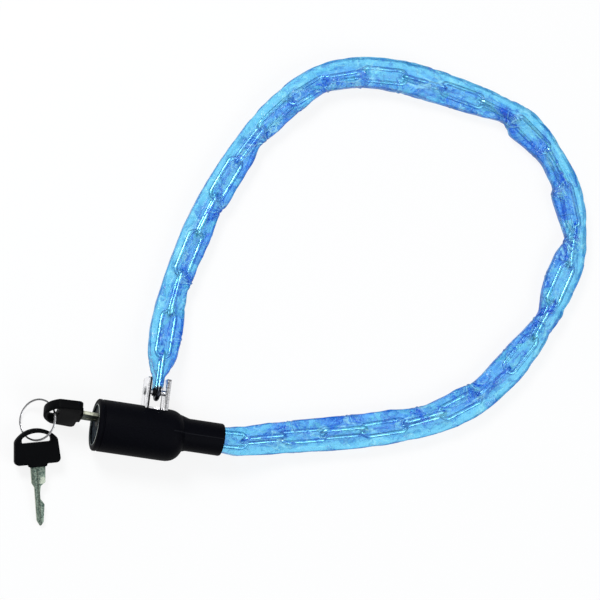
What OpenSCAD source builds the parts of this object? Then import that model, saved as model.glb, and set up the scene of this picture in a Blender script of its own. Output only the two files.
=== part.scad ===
// Bicycle chain lock: a cylinder lock with a pull-out fork, a welded chain in a
// loose vinyl sleeve, one key in the lock and a spare key on the ring.
// The origin is on the floor under the fork, +X runs to the chain's tail end,
// +Y is the way the fork pulls out and +Z is up.

/* [Jacket] */
// Outer diameter of the jacket's barrel
barrel_d = 28; // [26:0.5:34]
// Depth of the mouth in front of the face plate
mouth_l = 1; // [0.8:0.1:4]
// Length of the barrel on the tail side of the fork
barrel_tail_l = 7.5; // [7.5:0.5:12]
// Length of the sloping shoulder between barrel and tail
shoulder_l = 12.2; // [10:0.2:16]
// Outer diameter of the tail that holds the sleeve
tail_d = 17.6; // [16.6:0.2:20]
// Length of the tail
tail_l = 19.3; // [16:0.1:26]
// Sideways offset of the tail from the barrel's axis
tail_off = 1.8; // [0:0.1:2.5]
// Depth of the flat that the barrel stands on
foot_cut = 0.5; // [0.2:0.1:1]
// Depth of the groove behind the mouth's lip
lip_groove = 0.5; // [0.2:0.1:1]
// Wall of the tail round the sleeve
tail_wall = 1; // [0.8:0.1:1.2]

/* [Housing] */
// Diameter of the cast housing
house_d = 22; // [21.4:0.1:23]
// Gap between the plug's end and the fork
fork_room = 0.55; // [0.4:0.05:2]
// Distance from the fork's centre to the housing's back end
house_back_l = 12.5; // [11.5:0.1:14]
// Thickness of the face plate
face_t = 1.2; // [0.8:0.1:2]
// Depth of the fork's slot past the barrel's axis
slot_depth = 2.8; // [2.6:0.1:4]
// Width of a clevis ear
ear_w = 8.4; // [7.4:0.2:9]
// Thickness of a clevis ear
ear_t = 2.6; // [2:0.1:3]
// Gap between the clevis ears
ear_gap = 4.2; // [4:0.1:5]
// Diameter of the chain's tail pin
tail_pin_d = 3; // [2.4:0.1:3.4]

/* [Plug] */
// Diameter of the plug
plug_d = 12; // [11.6:0.1:12.6]
// Diameter of the plug's nose in the face plate
nose_d = 10; // [9.6:0.1:10.8]
// Sideways offset of the plug from the barrel's axis
plug_off = 4; // [3.6:0.1:4.4]
// Gap between the key's tip and the plug's end
tip_room = 0.4; // [0.3:0.1:1]
// Diameter of the bolt behind the plug
bolt_d = 7.4; // [6.8:0.1:7.6]
// Thickness of the bolt between its two flats
bolt_flat = 4.6; // [4:0.1:5]
// Length of the bolt's round journal behind the fork
journal_l = 3; // [2:0.1:4]
// Turn of the key in the lock, from the fork's side upward
key_angle = 72; // [60:1:80]
// Width of the keyway
keyway_w = 2.3; // [2.2:0.05:2.6]
// Diameter of the pin that holds the plug
plug_pin_d = 2; // [1.6:0.1:2.2]

/* [Wafers] */
// Distance from the plug's front end to the first wafer
wafer_first = 2.6; // [2.4:0.1:3]
// Distance from the last wafer to the plug's back end
wafer_last = 5.5; // [5:0.1:6]
// Thickness of a wafer
wafer_t = 1; // [0.8:0.05:1.2]
// Width of a wafer
wafer_w = 4.4; // [4:0.1:4.6]
// Wire of a wafer spring
spring_wire = 0.25; // [0.2:0.01:0.3]
// Turns of a wafer spring
spring_turns = 4; // [3:1:5]

/* [Key] */
// Length of the blade from the bow to the tip
blade_l = 31.4; // [28:0.1:36]
// Length of the blade's shoulder, from the bow to its stop
stop_l = 8.4; // [8:0.1:9]
// Gap between the blade's stop and the face plate
stop_gap = 0.1; // [0.05:0.05:0.3]
// Thickness of the blade
blade_t = 2; // [1.8:0.05:2.1]
// Width of the blade's shoulder
shoulder_w = 8; // [7.6:0.1:8.4]
// Depth of the long groove in each face of the blade
blade_groove = 0.45; // [0.2:0.05:0.6]
// Length of the bow
bow_l = 20.5; // [20:0.1:22]
// Width of the bow
bow_w = 24.8; // [23:0.2:26]
// Thickness of the bow
bow_t = 5.2; // [4.6:0.1:5.6]
// Thickness of the bar round the bow's half-moon hole
bow_bar = 2.3; // [2:0.1:2.8]
// Height of the half-moon hole at its middle
moon_h = 5.1; // [4.6:0.1:5.6]
// Mean diameter of the key ring
ring_d = 22; // [21.6:0.1:23]
// Wire of the key ring
ring_wire = 1.2; // [1:0.05:1.3]

/* [Fork] */
// Thickness of the fork's folded plate
fork_t = 2.1; // [1.8:0.1:2.2]
// Outer width across the fork's two legs
fork_w = 12.7; // [12.3:0.1:13.2]
// Height of the fork's legs
fork_h = 12; // [11:0.1:12.6]
// Reach of the legs past the rivet
fork_end = 7.5; // [6:0.1:9]
// Distance from the barrel's axis to the fork's rivet
rivet_y = 22; // [20:0.1:25]
// Diameter of the rivet
rivet_d = 3; // [2.4:0.1:3.2]
// Diameter of the rivet's bush
bush_d = 4.2; // [4:0.1:4.4]
// Length of the rivet's bush
bush_l = 4.4; // [3:0.1:6]

/* [Chain] */
// Number of links
link_count = 29; // [27:1:30]
// Wire of a link
link_wire = 2.5; // [2.2:0.1:2.6]
// Outer width of a link
link_w = 10; // [9.6:0.1:10.2]
// Play between neighbouring links
link_play = 0.4; // [0.3:0.05:0.6]

/* [Sleeve] */
// Width of the lying sleeve
sleeve_w = 17.5; // [16.6:0.1:19]
// Height of the lying sleeve
sleeve_h = 11.6; // [11.4:0.1:12.4]
// Wall of the sleeve
sleeve_wall = 0.55; // [0.3:0.05:0.6]
// Width of the sleeve where it is gathered between the fork's legs
gather_w = 4.6; // [4.4:0.1:5.4]

/* [Fits] */
// Gap between a shaft and its bore
running = 0.05; // [0.03:0.01:0.08]
// Gap between loose neighbouring pieces
loose = 0.25; // [0.2:0.05:0.35]

/* [Hidden] */
$fn = 64;
WAFERS = 5;
SPRINGS = ["wafer_spring_"];
FIXED = ["jacket", "lock_housing", "face_plate", "plug_pin", "tail_pin", "lock_plug",
    "shackle_fork", "fork_rivet", "rivet_bush", "key_blade", "key_bow",
    "spare_key_blade", "spare_key_bow", "key_ring", "sleeve"];
function link_name(k) = str("link_", k < 10 ? "0" : "", k);

// Heights and stations along the barrel
axis_z = barrel_d / 2 - foot_cut;
plug_l = blade_l - stop_l - stop_gap - face_t + tip_room;
plug_end_x = -fork_w / 2 - fork_room;
house_x = plug_end_x - plug_l;
face_x = house_x - face_t;
mouth_x = face_x - mouth_l;
barrel_key_l = -mouth_x;
shoulder_x = barrel_tail_l;
tail_x = barrel_tail_l + shoulder_l;
end_x = tail_x + tail_l;
house_end_x = house_back_l;
cavity_r = house_d / 2 + 0.2;
tail_bore_r = tail_d / 2 - tail_wall;

// Fork and its slot
leg_in = fork_w / 2 - fork_t;
leg_out = fork_w / 2;
fork_half = fork_h / 2;
web_z = fork_half - fork_t;
fork_tip = loose - slot_depth;
fork_y1 = rivet_y + fork_end;
web_y1 = house_d / 2 + 3.5;
hole_r = bolt_d / 2 + 0.1;
mouth_half = bolt_flat / 2 + 0.1;
journal_x = leg_out + loose + 0.4;
bolt_end_x = journal_x + journal_l;

// Wafers and the key's bitting, in the key's own directions: u to the tip,
// w across the blade and n through it
key_x = face_x - stop_gap - stop_l;
wafer_pitch = (plug_l - wafer_first - wafer_last) / (WAFERS - 1);
function wafer_x(i) = house_x + wafer_first + (i - 1) * wafer_pitch;
blade_back = 2.7;
bit_l = blade_l - stop_l;
BIT = [for (b = [[1.9, 0.75], [5.5, 0.1], [8.7, 0.05], [11.8, 2.07], [21.1, 0.9], [23, -0.6]])
    [stop_l + b[0] * bit_l / 23, b[1]]];
function bit_h(u) = lookup(u, BIT);
function bit_pass(u) = max([for (s = [0:0.1:blade_l - u]) bit_h(u + s)]);
way_lo = -blade_back - loose;
way_hi = max([for (b = BIT) b[1]]) + loose + 0.1;
window_h = blade_back + way_hi - 0.05;
wafer_half = plug_d / 2 - 0.6;
ear_n = plug_d / 2 - 1.9;
spring_n = (wafer_w / 2 + ear_n) / 2 + 0.15;
spring_w0 = -0.6;
spring_w1 = 3.4;
spring_r = 0.55;
spring_bore = spring_r + spring_wire / 2 + 0.12;
groove_x = plug_end_x - 2.4;
groove_r = plug_d / 2 - 1.2;
pin_play = asin((plug_pin_d / 2 + running) / groove_r) + 0.5;
pin_top = 10;

// Keys and ring
key_o = [key_x, plug_off, axis_z];
ring_tilt = 43;
ring_c = key_o + [-1.8 - bow_l, -5.5, -5];
spare_az = -76.5;
spare_tilt = 8;
spare_o = [ring_c[0] + 4, ring_c[1] - 4 - bow_l, blade_t / 2 + 0.1 + blade_l * sin(spare_tilt)];

// Chain route: from the fork's rivet round the loop to the tail pin
function unit(v) = v / norm(v);
rivet_p = [0, rivet_y, axis_z];
pin_p = [end_x - 8.8, tail_off, axis_z];
start_p = rivet_p - bush_d / 2 * unit([-4, 22, -3.2]);
stop_p = pin_p - [tail_pin_d / 2, 0, 0];
lie = sleeve_h / 2;
ROUTE = concat([start_p], [
    [0.4, 25.5, 13], [0.6, 32, 12.1], [1.2, 42.5, 10.4], [2.2, 54, 7.8], [3, 66, 6],
    [4, 77.5, lie], [6.3, 89, lie], [9.3, 100.5, lie], [12.4, 112, lie], [20, 134, lie],
    [29.5, 156, lie], [41, 176.5, lie], [56, 195, lie], [73.5, 210, lie], [96.5, 218.2, lie],
    [120.5, 220, lie], [144, 218, lie], [168.3, 213.8, lie], [191, 206.8, lie],
    [210.5, 191.7, lie], [224, 170.7, lie], [230.4, 149.5, lie], [229.2, 130.5, lie],
    [224, 114, lie], [217.2, 95.5, lie], [208.5, 78.5, lie], [197.5, 63, lie], [181, 46, lie],
    [160.5, 33, lie], [138, 24.2, lie], [114.8, 17.7, lie], [91.3, 12.4, lie + 0.1],
    [70, 7.6, 7.4], [56.7, 4.2, 10.6], [45, 2.1, 13.2]], [stop_p]);
SUB = 8;
LAST = len(ROUTE) - 1;
function at(i) = ROUTE[min(max(i, 0), LAST)];
function spline(i, t) = 0.5 * (2 * at(i) + (at(i + 1) - at(i - 1)) * t
    + (2 * at(i - 1) - 5 * at(i) + 4 * at(i + 1) - at(i + 2)) * t * t
    + (3 * at(i) - at(i - 1) - 3 * at(i + 1) + at(i + 2)) * t * t * t);
PATH = concat([for (i = [0:LAST - 1]) for (j = [0:SUB - 1]) spline(i, j / SUB)], [at(LAST)]);
RUN = [for (i = 0, s = 0; i < len(PATH); s = s + (i + 1 < len(PATH) ? norm(PATH[i + 1] - PATH[i]) : 0),
    i = i + 1) s];
route_l = RUN[len(RUN) - 1];
LX = [for (i = [0:len(PATH) - 1]) [RUN[i], PATH[i][0]]];
LY = [for (i = [0:len(PATH) - 1]) [RUN[i], PATH[i][1]]];
LZ = [for (i = [0:len(PATH) - 1]) [RUN[i], PATH[i][2]]];
function along(s) = [lookup(s, LX), lookup(s, LY), lookup(s, LZ)];
function heading(s) = unit(along(s + 0.8) - along(s - 0.8));
link_pitch = route_l / link_count;
// Roll of each link about its own length: 0 lies flat and 90 stands on edge
function extra_roll(k) = k <= 6 ? 0 : k <= 11 ? 18 * (k - 6) : k <= 21 ? 90 : k <= 27 ? 90 + 6 * (k - 21) : k == 28 ? 108 : 90;
function roll(k) = 90 * (k % 2) + extra_roll(k);

// Sleeve: how much wider or narrower than half its width it lies on the outer and on the
// inner side of the loop, by distance along the route. The dents lie between flat links
sleeve_s0 = 6.8;
sleeve_s1 = route_l - 6.3;
taper_l = 40;
cuff_l = 12;
plugged_l = 4.6;
end_w = 2 * (tail_bore_r - 0.9);
half_w = sleeve_w / 2;
neck = gather_w / 2 - half_w;
DENT_OUT = [[0, neck], [13.5, neck + 0.1], [15.5, -4.4], [24, -1.2], [36, 0.4], [60, -1.1],
    [96, -0.3], [156, -1.3], [192, 0.3], [250, 0.6], [312, -0.1], [324, -0.5], [336, 1],
    [360, -1.1], [384, 0.2], [408, -2], [420, 0.1], [444, 0.1], [462, -1.7], [492, 0.1],
    [528, 1], [560, 0.3], [600, 0.5], [sleeve_s1 - taper_l, -0.1], [sleeve_s1 - cuff_l, -0.9],
    [sleeve_s1 - plugged_l, end_w / 2 - half_w]];
DENT_IN = [[0, neck], [13.5, neck + 0.1], [15.5, -5.2], [24, -1.9], [36, 0.5], [60, -1.3],
    [96, -0.3], [108, -2], [120, -0.3], [144, -0.5], [156, -2.9], [168, -0.9], [192, -0.9],
    [206, -2.2], [228, -1.2], [240, -0.4], [276, 0.9], [300, 0], [312, -1.3], [324, -3.5],
    [336, 1.2], [348, 0.1], [360, -1.9], [372, -0.9], [384, 0.4], [396, -0.3], [408, -3.4],
    [420, 0.7], [432, 1.8], [444, -0.2], [456, -4.5], [468, -2.2], [480, -0.2], [492, 0.4],
    [516, -1.2], [528, 0.8], [552, -0.9], [576, 1], [600, 1], [sleeve_s1 - taper_l, 0.1],
    [sleeve_s1 - cuff_l, -0.9], [sleeve_s1 - plugged_l, end_w / 2 - half_w]];
TALL = [[0, lie + 0.6], [sleeve_s1 - taper_l, lie + 0.6], [sleeve_s1 - cuff_l, lie + 1], [sleeve_s1 - plugged_l, end_w / 2 - 0.4]];
RINGS = 76;
SIDE = [[1, 0.363], [0.787, 0.787], [0.363, 1], [-0.363, 1], [-0.787, 0.787], [-1, 0.363],
    [-1, -0.363], [-0.787, -0.787], [-0.363, -1], [0.363, -1], [0.787, -0.787], [1, -0.363]];
STATIONS = concat([sleeve_s0, 13.5, 15.5, 20, 26],
    [for (i = [0:RINGS - 8]) 33 + (sleeve_s1 - cuff_l - 33) * i / (RINGS - 8)],
    [sleeve_s1 - plugged_l, sleeve_s1]);
function sleeve_ring(s, inset) =
    let (c = along(s), t = heading(s), r = unit(cross(t, [0, 0, 1])), u = cross(r, t))
    let (o = half_w + lookup(s, DENT_OUT) - inset, n = half_w + lookup(s, DENT_IN) - inset)
    let (h = min(c[2], lookup(s, TALL)) - inset)
    [for (q = SIDE) c + q[0] * (q[0] > 0 ? n : o) * r + q[1] * h * u];

// Basic solids along X, on the barrel's axis
module rod_x(x0, x1, r, y = 0) {
    translate([x0, y, axis_z]) rotate([0, 90, 0]) cylinder(h = x1 - x0, r = r);
}

// Turned solid about X from [x, radius] points
module turned(points, y = 0) {
    translate([0, y, axis_z]) rotate([0, 90, 0])
        rotate_extrude($fn = 96) polygon([for (p = points) [p[1], p[0]]]);
}

// Places what is drawn in the key's directions at the plug's axis
module at_plug() {
    translate([0, plug_off, axis_z]) rotate([key_angle, 0, 0]) children();
}

// Closed skin over equal rings of points
module skin(rings) {
    n = len(rings[0]);
    m = len(rings);
    points = [for (r = rings) each r];
    sides = [for (i = [0:m - 2]) for (j = [0:n - 1])
        each let (a = i * n + j, b = i * n + (j + 1) % n)
            [[a, b + n, b], [a, a + n, b + n]]];
    first = [for (j = [1:n - 2]) [0, j, j + 1]];
    last = [for (j = [1:n - 2]) [(m - 1) * n, (m - 1) * n + j + 1, (m - 1) * n + j]];
    polyhedron(points, concat(sides, first, last));
}

// Rounded end of the barrel, from [x, radius] points of a full quarter curve
DOME = [for (i = [0:12]) [shoulder_x + (shoulder_l - 1.4) * pow(sin(7.5 * i), 0.8),
    barrel_d / 2 * pow(cos(7.5 * i), 0.8)]];

module jacket() {
    r = barrel_d / 2;
    g = r - lip_groove;
    t = tail_d / 2;
    color("#17181a")
    difference() {
        union() {
            turned([[mouth_x, 0], [mouth_x, r - 1], [mouth_x + 0.3, r - 0.4], [mouth_x + 0.8, r],
                [mouth_x + 2.2, r], [mouth_x + 2.5, g], [mouth_x + 3, g], [mouth_x + 3.3, r],
                each DOME]);
            turned([[shoulder_x + 2.5, 0], [shoulder_x + 2.5, r - tail_off - 0.6], [tail_x, t],
                [end_x - 0.8, t], [end_x - 0.2, t - 0.3], [end_x, t - 0.8], [end_x, 0]], tail_off);
        }
        rod_x(mouth_x - 1, house_end_x + 0.3, cavity_r);
        rod_x(house_end_x, end_x + 1, tail_bore_r, tail_off);
        translate([-leg_out - loose, 0, axis_z - fork_half - 0.3])
            cube([fork_w + 2 * loose, barrel_d, fork_h + 0.6]);
        translate([mouth_x - 1, -barrel_d, -barrel_d])
            cube([barrel_key_l + tail_x + tail_l + 2, 2 * barrel_d, barrel_d]);
    }
}

// One clevis ear, drawn flat at the tail pin's height
module ear() {
    translate([house_end_x - 1, tail_off - ear_w / 2, 0])
        cube([pin_p[0] - house_end_x + 1, ear_w, ear_t]);
    translate([pin_p[0], tail_off, 0]) cylinder(h = ear_t, d = ear_w);
}

module lock_housing() {
    slot_x = leg_in - loose;
    slot_w = fork_t + 2 * loose;
    slot_z = fork_half + loose;
    color("#8d9093")
    difference() {
        union() {
            rod_x(house_x, house_end_x, house_d / 2);
            translate([0, 0, axis_z + ear_gap / 2]) ear();
            translate([0, 0, axis_z - ear_gap / 2 - ear_t]) ear();
        }
        rod_x(house_x - 1, plug_end_x + 0.1, plug_d / 2 + running, plug_off);
        rod_x(plug_end_x, bolt_end_x + 0.2, bolt_d / 2 + running, plug_off);
        for (x = [-slot_x - slot_w, slot_x])
            translate([x, -slot_depth, axis_z - slot_z]) cube([slot_w, house_d, 2 * slot_z]);
        translate([-slot_x - slot_w, -slot_depth, axis_z - slot_z])
            cube([2 * (slot_x + slot_w), house_d, fork_t + 2 * loose]);
        translate([groove_x, plug_off, axis_z]) cylinder(h = house_d, d = plug_pin_d + 2 * running);
        translate([pin_p[0], tail_off, 0]) cylinder(h = 2 * axis_z, d = tail_pin_d + 2 * running);
    }
}

module face_plate() {
    r = house_d / 2 + 0.1;
    color("#c9cccf")
    difference() {
        turned([[face_x, 0], [face_x, r - 0.8], [face_x + 0.25, r - 0.25], [face_x + 0.7, r],
            [house_x, r], [house_x, 0]]);
        rod_x(face_x - 1, house_x + 1, nose_d / 2 + 0.1, plug_off);
    }
}

module plug_pin() {
    color("#b9bcc0")
    translate([groove_x, plug_off, axis_z + groove_r + 0.15])
        cylinder(h = pin_top - groove_r - 0.15, d = plug_pin_d);
}

module tail_pin() {
    z = ear_gap / 2 + ear_t;
    color("#b9bcc0")
    translate([pin_p[0], tail_off, axis_z]) {
        translate([0, 0, -z]) cylinder(h = 2 * z, d = tail_pin_d);
        translate([0, 0, z]) cylinder(h = 0.8, d = tail_pin_d + 1.4);
        translate([0, 0, -z - 0.8]) cylinder(h = 0.8, d = tail_pin_d + 1.4);
    }
}

module lock_plug() {
    slot_t = wafer_t + 0.16;
    color("#c8a24a")
    difference() {
        union() {
            rod_x(face_x, house_x + 1, nose_d / 2, plug_off);
            rod_x(house_x, plug_end_x, plug_d / 2, plug_off);
            rod_x(journal_x, bolt_end_x, bolt_d / 2, plug_off);
            intersection() {
                rod_x(plug_end_x - 0.1, journal_x + 1, bolt_d / 2, plug_off);
                translate([plug_end_x - 0.1, plug_off - bolt_d, axis_z - bolt_flat / 2])
                    cube([journal_x - plug_end_x + 1.1, 2 * bolt_d, bolt_flat]);
            }
        }
        at_plug() {
            linear_extrude(height = keyway_w, center = true)
                polygon([[face_x - 0.2, -shoulder_w / 2 - loose], [face_x + 2.6, way_lo],
                    [plug_end_x - 0.2, way_lo], [plug_end_x - 0.2, way_hi], [face_x + 2.2, way_hi],
                    [face_x - 0.2, shoulder_w / 2]]);
            for (i = [1:WAFERS]) {
                translate([wafer_x(i) - slot_t / 2, -plug_d, -wafer_w / 2 - 0.06])
                    cube([slot_t, 2 * plug_d, wafer_w + 0.12]);
                translate([wafer_x(i) - slot_t / 2, -3.6, 0])
                    cube([slot_t, 3.6 + spring_w0 + 0.05, ear_n + 0.2]);
                translate([wafer_x(i), spring_w0, spring_n]) rotate([-90, 0, 0])
                    cylinder(h = spring_w1 - spring_w0, r = spring_bore, $fn = 32);
            }
        }
        translate([groove_x - plug_pin_d / 2 - 0.1, plug_off, axis_z]) rotate([0, 90, 0])
            rotate_extrude(angle = 90 + 2 * pin_play, start = 180 - pin_play)
                translate([groove_r, 0]) square([plug_d, plug_pin_d + 0.2]);
    }
}

// Wafer i stands at the shear line, with its window over all of the blade that passes it
module wafer(i) {
    top = bit_pass(wafer_x(i) - key_x) + 0.06;
    color("#d8b860")
    at_plug() translate([wafer_x(i) - wafer_t / 2, 0, 0]) rotate([90, 0, 90])
        linear_extrude(height = wafer_t)
        difference() {
            union() {
                translate([-wafer_half, -wafer_w / 2]) square([2 * wafer_half, wafer_w]);
                translate([spring_w0 - 1, 0]) square([1, ear_n]);
            }
            translate([top - window_h, -keyway_w / 2]) square([window_h, keyway_w]);
        }
}

// Wafer spring: one wire wound about the wafer's own direction of travel
function spring_ring(a) =
    let (h = spring_w0 + 0.15 + (spring_w1 - spring_w0 - 0.3) * a / (360 * spring_turns))
    [for (j = [0:5]) let (r = spring_r + spring_wire / 2 * cos(60 * j))
        [r * cos(a), h + spring_wire / 2 * sin(60 * j), r * sin(a)]];
SPRING_RINGS = [for (i = [0:8 * spring_turns]) spring_ring(45 * i)];
echo(spring_gap = min([for (i = [8:8 * spring_turns])
    SPRING_RINGS[i][4][1] - SPRING_RINGS[i - 8][1][1]]));

module wafer_spring(i) {
    color("#d9dbde")
    at_plug() translate([wafer_x(i), 0, spring_n]) skin(SPRING_RINGS);
}

// Key blade in its own directions
module blade() {
    s = shoulder_w / 2;
    difference() {
        linear_extrude(height = blade_t, center = true)
            polygon(concat([[-9, -3.2], [0, -3.2], [0, -s], [stop_l, -s], [stop_l + 2.4, -blade_back],
                [blade_l - 2.9, -blade_back], [blade_l, -1.2]],
                [for (i = [len(BIT) - 1:-1:0]) BIT[i]],
                [[stop_l, s - 0.6], [0, s], [0, 3.2], [-9, 3.2]]));
        for (z = [blade_t / 2 - blade_groove, -blade_t / 2 - 1])
            translate([1.5, -1.8, z]) cube([blade_l, 1.4, 1 + blade_groove]);
    }
}

module bow() {
    far_w = bow_w / 2 - 1.3;
    h = bow_w / 2;
    difference() {
        union() {
            intersection() {
                translate([14 - bow_l, 0, -bow_t / 2]) cylinder(h = bow_t, r = 14);
                union() {
                    linear_extrude(height = bow_t, center = true)
                        polygon([[-bow_l - 1, -far_w], [-4, -h], [-4, h], [-bow_l - 1, far_w]]);
                    translate([-4, 2.5 - h, -bow_t / 2]) cube([2.5, 2 * h - 5, bow_t]);
                    for (y = [2.5 - h, h - 2.5])
                        translate([-4, y, -bow_t / 2]) cylinder(h = bow_t, r = 2.5);
                }
            }
            linear_extrude(height = bow_t, center = true)
                polygon([[-3, -5.2], [0, -4.8], [0, 4.8], [-3, 5.2]]);
        }
        intersection() {
            translate([13 + bow_bar - bow_l, 0, -bow_t]) cylinder(h = 2 * bow_t, r = 13);
            translate([-bow_l, -7.9, -bow_t]) cube([bow_bar + moon_h, 15.8, 2 * bow_t]);
        }
        translate([-9, -3.2, -blade_t / 2]) cube([10, 6.4, blade_t]);
    }
}

// Places a key in the lock
module in_lock() {
    translate(key_o) rotate([key_angle, 0, 0]) children();
}

// Places the spare key on the floor, its bow across the ring
module on_ring() {
    translate(spare_o) rotate([0, 0, spare_az]) rotate([0, spare_tilt, 0]) children();
}

module key_blade() { color("#c9a85a") in_lock() blade(); }
module key_bow() { color("#1b1c1f") in_lock() bow(); }
module spare_key_blade() { color("#b9b48c") on_ring() blade(); }
module spare_key_bow() { color("#1b1c1f") on_ring() bow(); }

module key_ring() {
    color("#c4c7ca")
    translate(ring_c) rotate([0, -ring_tilt, 0])
        rotate_extrude($fn = 96) translate([ring_d / 2, 0]) circle(d = ring_wire, $fn = 24);
}

module shackle_fork() {
    c = 1.5;
    l = fork_y1 - fork_tip;
    color("#cfd2d6")
    difference() {
        union() {
            for (x = [-leg_out, leg_in])
                translate([x, 0, axis_z]) rotate([90, 0, 90]) {
                    translate([fork_tip + c, -fork_half]) cube([l - 2 * c, fork_h, fork_t]);
                    translate([fork_tip, c - fork_half]) cube([l, fork_h - 2 * c, fork_t]);
                    for (y = [fork_tip + c, fork_y1 - c], z = [c - fork_half, fork_half - c])
                        translate([y, z]) cylinder(h = fork_t, r = c);
                }
            translate([-leg_out, fork_tip + c, axis_z - fork_half])
                cube([fork_w, web_y1 - fork_tip - c, fork_t]);
        }
        rod_x(-fork_w, fork_w, hole_r, plug_off);
        translate([-fork_w, fork_tip - 1, axis_z - mouth_half])
            cube([2 * fork_w, plug_off - fork_tip + 1, 2 * mouth_half]);
        rod_x(-fork_w, fork_w, rivet_d / 2 + running, rivet_y);
    }
}

module fork_rivet() {
    r = rivet_d / 2;
    x = leg_out + 1;
    color("#9fa2a6")
    turned([[-x, 0], [-x, r - 0.4], [0.35 - x, r + 0.5], [1 - x, r + 1.1], [1 - x, r],
        [x - 1, r], [x - 1, r + 1.1], [x - 0.35, r + 0.5], [x, r - 0.4], [x, 0]], rivet_y);
}

module rivet_bush() {
    color("#202124")
    difference() {
        rod_x(-bush_l / 2, bush_l / 2, bush_d / 2, rivet_y);
        rod_x(-bush_l, bush_l, rivet_d / 2 + running, rivet_y);
    }
}

// One welded link: two round ends and two straight sides
module link(k) {
    a = along((k - 1) * link_pitch);
    b = along(k * link_pitch);
    d = b - a;
    r = (link_w - link_wire) / 2;
    half = round(500 * (norm(d) + link_play - 2 * r + link_wire)) / 1000;
    color("#b4b7ba")
    translate((a + b) / 2) rotate([0, -atan2(d[2], norm([d[0], d[1]])), atan2(d[1], d[0])])
        rotate([roll(k), 0, 0]) {
            for (s = [0, 180]) rotate([0, 0, s]) {
                translate([half, 0, 0]) rotate_extrude(angle = 180, start = -90)
                    translate([r, 0]) circle(d = link_wire, $fn = 24);
                translate([-half, r, 0]) rotate([0, 90, 0])
                    cylinder(h = 2 * half, d = link_wire, $fn = 24);
            }
        }
}

module sleeve() {
    n = len(SIDE);
    m = len(STATIONS);
    outer = [for (s = STATIONS) each sleeve_ring(s, 0)];
    inner = [for (s = STATIONS) each sleeve_ring(s, sleeve_wall)];
    q = n * m;
    walls = [for (i = [0:m - 2]) for (j = [0:n - 1])
        each let (a = i * n + j, b = i * n + (j + 1) % n)
            [[a, b, b + n], [a, b + n, a + n],
            [q + a, q + b + n, q + b], [q + a, q + a + n, q + b + n]]];
    ends = [for (j = [0:n - 1]) let (k = (j + 1) % n, e = (m - 1) * n)
        each [[j, q + j, q + k], [j, q + k, k],
            [e + j, e + k, q + e + k], [e + j, q + e + k, q + e + j]]];
    color("#5aa0f0")
    polyhedron(concat(outer, inner), concat(walls, ends));
}

jacket();
lock_housing();
face_plate();
plug_pin();
tail_pin();
lock_plug();
shackle_fork();
fork_rivet();
rivet_bush();
key_blade();
key_bow();
spare_key_blade();
spare_key_bow();
key_ring();
sleeve();
for (i = [1:WAFERS]) wafer(i);
for (i = [1:WAFERS]) wafer_spring(i);
for (k = [1:link_count]) link(k);
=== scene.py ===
import math

import bmesh
import bpy
import numpy as np
from mathutils import Matrix, Vector, noise


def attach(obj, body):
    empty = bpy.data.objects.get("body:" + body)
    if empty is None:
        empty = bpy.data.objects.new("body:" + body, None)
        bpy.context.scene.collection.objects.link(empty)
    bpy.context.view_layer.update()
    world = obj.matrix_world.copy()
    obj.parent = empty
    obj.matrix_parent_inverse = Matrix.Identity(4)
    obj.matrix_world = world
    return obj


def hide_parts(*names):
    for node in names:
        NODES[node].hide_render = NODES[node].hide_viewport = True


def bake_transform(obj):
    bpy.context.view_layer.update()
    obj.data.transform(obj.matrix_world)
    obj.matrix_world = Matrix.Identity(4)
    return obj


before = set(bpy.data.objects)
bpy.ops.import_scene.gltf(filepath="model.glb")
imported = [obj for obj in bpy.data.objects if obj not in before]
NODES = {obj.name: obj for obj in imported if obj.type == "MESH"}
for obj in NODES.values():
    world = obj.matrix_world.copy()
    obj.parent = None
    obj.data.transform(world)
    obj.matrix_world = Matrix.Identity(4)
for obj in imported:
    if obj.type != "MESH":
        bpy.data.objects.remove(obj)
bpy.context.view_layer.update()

MM = 0.001
BARREL_HEIGHT = 13.5
MOUTH_X = -31.0
WAFERS = 5
LINK_WIRE = 2.5
LINK_WIDTH = 10.0
LINK_PLAY = 0.4
FILM_WALL = 0.4
FILM_GAP = 0.5


# ---------------------------------------------------------------- camera

def studio_camera():
    """Looks down on the lock from about 17 degrees off the vertical, with its top to +Y."""
    data = bpy.data.cameras.new("camera")
    data.lens, data.sensor_width = 162.75, 36.0
    data.clip_start, data.clip_end = 0.05, 20.0
    right = Vector((0.95475588, 0.12010586, 0.27205843))
    up = Vector((-0.15631387, 0.98092956, 0.11551268))
    back = Vector((-0.2529964, -0.15281292, 0.95532248))
    camera = bpy.data.objects.new("camera", data)
    bpy.context.scene.collection.objects.link(camera)
    place = Matrix((right, up, back)).transposed().to_4x4()
    place.translation = Vector((-0.30288236, -0.14277885, 1.43298371))
    camera.matrix_world = place
    bpy.context.scene.camera = camera


studio_camera()


# ---------------------------------------------------------------- shader maths

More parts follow.
